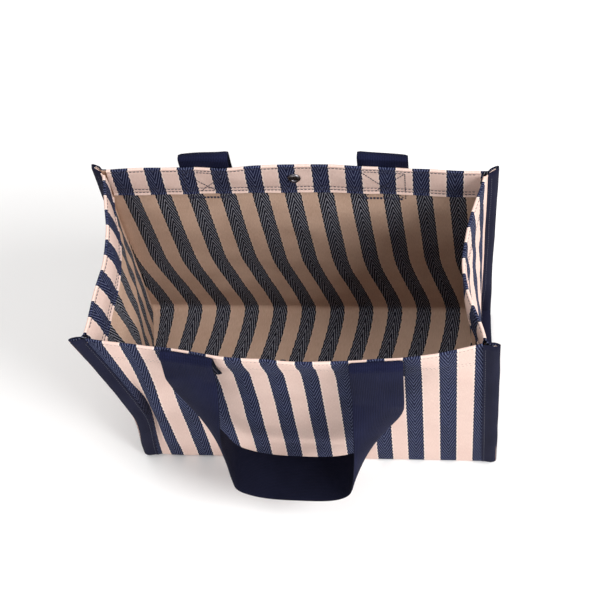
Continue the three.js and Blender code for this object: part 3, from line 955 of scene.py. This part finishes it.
def sewn_rows(face, side, offsets):
    """Rows of the end that is sewn to the hem and of its fold, from the cloth outwards."""
    x = side * (HANDLE_X - offsets)
    stand = WEBBING_STAND + WEBBING
    rows = []
    for z in spread(HEIGHT - SEWN_LENGTH, FOLD_Z[face], 0.0024):
        y = panel_y(face, x, min(z, HEIGHT)) + stand
        dent = 0.0004 * bump_at(HEIGHT - SEWN_LENGTH + 0.004, 0.002, z)
        rows.append(joined(x, face * (y - dent), z))
    turn = (FOLD_RADIUS[face] - WEBBING) * (1.0 - squeeze_at(face, side, x))
    for a in np.linspace(0.0, math.pi, 12)[1:-1]:
        y = panel_top_y(face, x) + stand + turn * (1.0 - math.cos(a))
        rows.append(joined(x, face * y, FOLD_Z[face] + turn * math.sin(a)))
    return rows


def loop_rows(face, offsets):
    """Rows of the loop. Near its folds it follows the bowed hem."""
    path, across = loop_route(face)
    radius = FOLD_RADIUS[face]
    rows = []
    for i, (centre, direction) in enumerate(zip(path, across)):
        row = centre + offsets[:, None] * direction
        from_fold = min(i, LOOP_COUNT - 1 - i) / (LOOP_COUNT - 1)
        side = -1 if i < LOOP_COUNT / 2 else 1
        flatter = 2 * (radius - WEBBING) * squeeze_at(face, side, row[:, 0])
        drift = panel_top_y(face, row[:, 0]) + WEBBING_STAND + 2 * radius - leg_y(face) - flatter
        row[:, 1] += face * drift * (1.0 - smooth(0.0, 0.16, from_fold))
        rows.append(row)
    return rows


def make_handle(face_name, face):
    """A rigid loop, and two sewn ends whose folds are built to meet it."""
    offsets = np.linspace(-0.5, 0.5, WEBBING_COLUMNS) * WEBBING_WIDTH
    left, right = sewn_rows(face, -1, offsets), sewn_rows(face, 1, offsets)
    points = np.array(left + loop_rows(face, offsets) + right[::-1])
    length = arc_lengths(points[:, WEBBING_COLUMNS // 2])
    from_end = np.minimum(length, length[-1] - length)
    calm = smooth(SEWN_LENGTH + 0.02, SEWN_LENGTH + 0.08, from_end)
    wave = 0.0012 * ripple(length[:, None], offsets[None, :], 0.055, 60.0 + face) * calm[:, None]
    points = points + grid_normals(points) * wave[..., None]
    normal = grid_normals(points) * -face
    uv = joined(offsets + 0.5 * WEBBING_WIDTH, length[:, None])
    body = face_name + "_handle"
    first, last = len(left) + 1, len(points) - len(right) - 2
    part = slice(first, last + 1)
    loop = band(face_name + "_webbing_loop", points[part], normal[part], uv[part], face > 0)
    put(loop, body, "webbing", body + "_loop")
    for side_name, part, edge, sewn in (("left", slice(0, first + 1), first, left),
                                        ("right", slice(last, None), last, right)):
        name = face_name + "_" + side_name + "_webbing_end"
        piece = band(name, points[part], normal[part], uv[part], face > 0)
        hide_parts(body + "_" + side_name + "_end")
        start, end = fold_span(face, SIDES[side_name], np.array(sewn), points[edge])
        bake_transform(piece)


def fold_span(face, side, sewn, edge):
    """Where the webbing of one end starts and stops following the loop, measured square to the cloth."""
    x = side * HANDLE_X + np.array([-0.5, 0.5]) * WEBBING_WIDTH
    low, high = panel_top_y(face, x)
    out = np.array([-(high - low) / WEBBING_WIDTH, face, 0.0])
    out /= np.linalg.norm(out)
    place = np.array([side * HANDLE_X, face * (low + high) / 2, HEIGHT])
    sewn = sewn[sewn[..., 2] < HEIGHT - 0.002]
    start = np.max((sewn - place) @ out) + 0.0001
    end = np.min((edge - place) @ out) - 0.0001
    return tuple(place + start * out), tuple(place + end * out)


def band(name, points, normal, uv, flip):
    """Webbing: a sheet whose selvedges are rounded."""
    half = WEBBING / 2
    middle = points - normal * half
    rows, cols = points.shape[:2]
    width = np.linspace(-1.0, 1.0, cols)
    edge = np.sqrt(np.clip(1.0 - np.abs(width) ** 24, 0.0, 1.0)) * 0.72 + 0.28
    outer = middle + normal * half * edge[None, :, None]
    under = middle - normal * half * edge[None, :, None]
    count = rows * cols
    verts = np.concatenate([outer.reshape(-1, 3), under.reshape(-1, 3)])
    uvs = np.concatenate([uv.reshape(-1, 2)] * 2)
    quads = [(r * cols + c, r * cols + c + 1, (r + 1) * cols + c + 1, (r + 1) * cols + c)
             for r in range(rows - 1) for c in range(cols - 1)]
    if flip:
        quads = [q[::-1] for q in quads]
    walls, below = close_up(quads, count)
    slots = [0] * len(quads) + [1] * len(below) + [0] * len(walls)
    # The grid side takes the darker webbing copy, whose darkness is painted shade on the loop's low band
    return new_object(name, verts, quads + below + walls, [WEB_REVERSE_SHADED, WEB_FRONT], slots, uvs, sharp=75.0)


# ---- thread

def facing(points, axis, sign):
    """Normals for a row of points, all along one axis."""
    normals = np.zeros_like(points)
    normals[:, axis] = sign
    return normals


def hem_line(face, drop, layer):
    reach = HALF_WIDTH - 0.007
    u = spread(-reach, reach, 0.004)
    if layer == "hem":
        points = hem_cloth(face, u, HEIGHT - drop)
        return points, facing(points, 1, -face)
    points = outer_cloth(face, u, HEIGHT - drop)
    points[:, 1] -= face * THREAD_SUNK
    return points, facing(points, 1, face)


def gusset_line(side, drop, layer):
    reach = WEB_END - 0.012
    kind = "web" if layer == "outer" else "hem"
    points = np.array([gusset_point(side, (0, "web", y), kind, HEIGHT - drop)
                       for y in spread(-reach, reach, 0.004)])
    return points, facing(points, 0, side if layer == "outer" else -side)


def make_hem_stitching():
    """One row below each hem's top edge and two near its lower edge, on both layers of cloth."""
    hems = [(name, hem_line, face) for name, face in FACES.items()]
    hems += [(name, gusset_line, side) for name, side in SIDES.items()]
    for name, line, way in hems:
        for part, drops in (("_top", HEM_ROWS[:1]), ("_hem", HEM_ROWS[1:])):
            rows = [line(way, drop, layer) for drop in drops for layer in ("outer", "hem")]
            put(stitches(name + part + "_thread", rows), "bag", "thread", name + part + "_stitching")


def box_lines():
    """The sides and the cross of a box of stitches. Its low side is sewn three times."""
    w, top, low = BOX_HALF_WIDTH, BOX_TOP, BOX_LOW
    corners = [(-w, low), (w, low), (w, top), (-w, top), (-w, low)]
    lines = list(zip(corners, corners[1:]))
    lines += [((-w, low), (w, top)), ((-w, top), (w, low))]
    lines += [((-w, low + shift), (w, low + shift)) for shift in (0.0012, -0.0012)]
    return lines


def box_rows(face, side, start, end):
    """One line of a box, on the bag's inner face and on the webbing."""
    steps = np.linspace(0.0, 1.0, 14)
    u = side * HANDLE_X + start[0] + (end[0] - start[0]) * steps
    drop = start[1] + (end[1] - start[1]) * steps
    z = HEIGHT - drop
    inside = hem_cloth(face, u, z)
    panel = outer_cloth(face, u, z)
    webbing = panel.copy()
    panel[:, 1] -= face * CANVAS
    inside[drop > HEM_DEPTH] = panel[drop > HEM_DEPTH]
    webbing[:, 1] = face * (panel_y(face, u, z) + WEBBING_STAND + WEBBING)
    return [(inside, facing(inside, 1, -face)), (webbing, facing(webbing, 1, face))]


def make_box_stitches():
    """A box with a cross at each handle end, seen on the hem's inner face and on the webbing."""
    for face_name, face in FACES.items():
        for side_name, side in SIDES.items():
            rows = [row for start, end in box_lines() for row in box_rows(face, side, start, end)]
            name = face_name + "_" + side_name + "_box"
            piece = stitches(name + "_thread", rows, stitch=0.0029, space=0.0004)
            put(piece, "bag", "thread", name + "_stitch")


# ---- snap

def make_snap(face, part):
    """One half of the snap on a hem's inner face, with its prong ring inside the turned-over cloth."""
    z = HEIGHT - SNAP_INSET + np.array([-0.004, 0.004])
    low, high = hem_cloth(face, np.zeros(2), z)
    place = (low + high) / 2
    up = (high - low) / np.linalg.norm(high - low)
    inward = np.cross(up, (-face, 0.0, 0.0))
    cap = lathe("snap_" + part + "_cap", SNAP_PROFILES[part], place, inward, SNAP)
    put(cap, "bag", "snap_metal", "snap_" + part)
    behind = place - inward * (CANVAS + 0.0009)
    ring = lathe("snap_" + part + "_prongs", SNAP_PROFILES["prongs"], behind, inward, SNAP)
    put(ring, "bag", "snap_metal", "snap_" + part + "_prong_ring")


# ---- stage

def make_stage():
    floor = new_object("floor", [(-3, -3, -0.0006), (3, -3, -0.0006), (3, 3, -0.0006), (-3, 3, -0.0006)],
                       [(0, 1, 2, 3)], [floor_material()])
    world = bpy.data.worlds.new("studio")
    bpy.context.scene.world = world
    world.use_nodes = True
    background = world.node_tree.nodes["Background"]
    background.inputs["Color"].default_value = (1.0, 0.985, 0.97, 1.0)
    background.inputs["Strength"].default_value = 0.55
    lights = [
        ("key", (1.9, -0.9, 2.2), 1.6, 74.0),
        ("top", (-0.3, 0.1, 2.4), 1.4, 16.0),
        ("front", (-0.6, -2.2, 1.3), 1.2, 10.0),
    ]
    for name, place, size, power in lights:
        data = bpy.data.lights.new(name, "AREA")
        data.shape = "DISK"
        data.size = size
        data.energy = power
        lamp = bpy.data.objects.new(name, data)
        lamp.location = place
        lamp.rotation_euler = (Vector((0, 0, 0.15)) - Vector(place)).to_track_quat("-Z", "Y").to_euler()
        bpy.context.scene.collection.objects.link(lamp)
    bpy.context.scene.view_settings.view_transform = "Standard"


def make_camera():
    azimuth, elevation, roll = (math.radians(a) for a in (12.152, 63.496, -10.265))
    forward = Vector((-math.sin(azimuth) * math.cos(elevation), math.cos(azimuth) * math.cos(elevation),
                      -math.sin(elevation)))
    level = Vector((math.cos(azimuth), math.sin(azimuth), 0.0))
    upright = level.cross(forward)
    right = math.cos(roll) * level + math.sin(roll) * upright
    up = math.cos(roll) * upright - math.sin(roll) * level
    data = bpy.data.cameras.new("camera")
    data.sensor_width = 36.0
    data.lens = 93.6
    data.clip_end = 20.0
    camera = bpy.data.objects.new("camera", data)
    turn = Matrix((right, up, -forward)).transposed().to_4x4()
    turn.translation = Vector((0.14716, -0.66392, 1.56545))
    camera.matrix_world = turn
    bpy.context.scene.collection.objects.link(camera)
    bpy.context.scene.camera = camera


make_camera()
make_stage()
make_main_cloth()
for name, side in SIDES.items():
    make_gusset(name, side)
    make_binding(name, side)
for name, face in FACES.items():
    make_handle(name, face)
make_hem_stitching()
make_box_stitches()
for face, part in ((-1, "stud"), (1, "socket")):
    make_snap(face, part)
